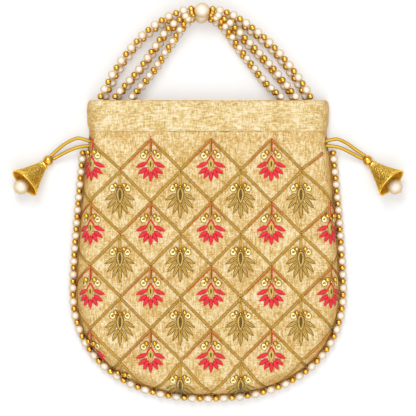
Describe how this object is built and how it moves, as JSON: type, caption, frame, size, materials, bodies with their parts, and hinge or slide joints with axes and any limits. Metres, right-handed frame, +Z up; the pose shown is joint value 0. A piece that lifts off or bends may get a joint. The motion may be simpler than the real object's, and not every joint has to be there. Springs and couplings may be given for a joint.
{
  "type": "potli bag",
  "caption": "Flat-lying drawstring potli bag: brocade panels with an embroidered diamond lattice, pearl-beaded seam, two bead-strand handles and a bell tassel on each drawstring",
  "frame": {"origin": "on the table under the middle of the bag and its handles, tassels left out", "axes": "+X to the viewer's right across the bag, +Y from the bag's bottom to the top of its handles, +Z up out of the front face"},
  "size_m": [0.2924, 0.2995, 0.0231],
  "materials": {
    "brocade": "woven gold tissue silk with a soft sheen",
    "plain_silk": "slubbed gold silk",
    "gold_silk": "glossy twisted silk",
    "gold_thread": "metallic thread",
    "pearl": "pearlescent",
    "gold_metal": "antique gold plate"
  },
  "bodies": {
    "bag": {"front_panel": "brocade", "back_panel": "plain_silk", "front_hem": "plain_silk", "back_hem": "plain_silk", "front_strand_tape": "gold_silk", "back_strand_tape": "gold_silk", "front_casing": "gold_silk", "back_casing": "gold_silk", "left_drawstring": "gold_silk", "right_drawstring": "gold_silk", "embroidery": "gold_thread", "pearl_piping": "pearl"},
    "front_handle": {"front_strand_left_outer": "pearl", "front_strand_left_middle": "pearl", "front_strand_left_inner": "pearl", "front_strand_right_outer": "pearl", "front_strand_right_middle": "pearl", "front_strand_right_inner": "pearl", "front_handle_pearl": "pearl"},
    "back_handle": {"back_strand_left_outer": "pearl", "back_strand_left_middle": "pearl", "back_strand_left_inner": "pearl", "back_strand_right_outer": "pearl", "back_strand_right_middle": "pearl", "back_strand_right_inner": "pearl", "back_handle_pearl": "pearl"},
    "left_tassel": {"left_cord_upper": "gold_silk", "left_cord_lower": "gold_silk", "left_ball": "gold_metal", "left_bell": "gold_metal", "left_drop_pearl": "pearl"},
    "right_tassel": {"right_cord_upper": "gold_silk", "right_cord_lower": "gold_silk", "right_ball": "gold_metal", "right_bell": "gold_metal", "right_drop_pearl": "pearl"}
  },
  "joints": [
    {"name": "front_handle_swing", "type": "hinge", "parent": "bag", "child": "front_handle", "pos_m": [0, 0.0797, 0.01093], "axis": [1, 0, 0], "range_deg": [0, 95]},
    {"name": "back_handle_swing", "type": "hinge", "parent": "bag", "child": "back_handle", "pos_m": [0, 0.0797, 0.00387], "axis": [1, 0, 0], "range_deg": [-95, 0]},
    {"name": "left_tassel_swing", "type": "hinge", "parent": "bag", "child": "left_tassel", "pos_m": [-0.088, 0.0444, 0.0074], "axis": [0, 0, 1], "range_deg": [-28, 22]},
    {"name": "right_tassel_swing", "type": "hinge", "parent": "bag", "child": "right_tassel", "pos_m": [0.088, 0.0444, 0.0074], "axis": [0, 0, 1], "range_deg": [-22, 28]}
  ]
}
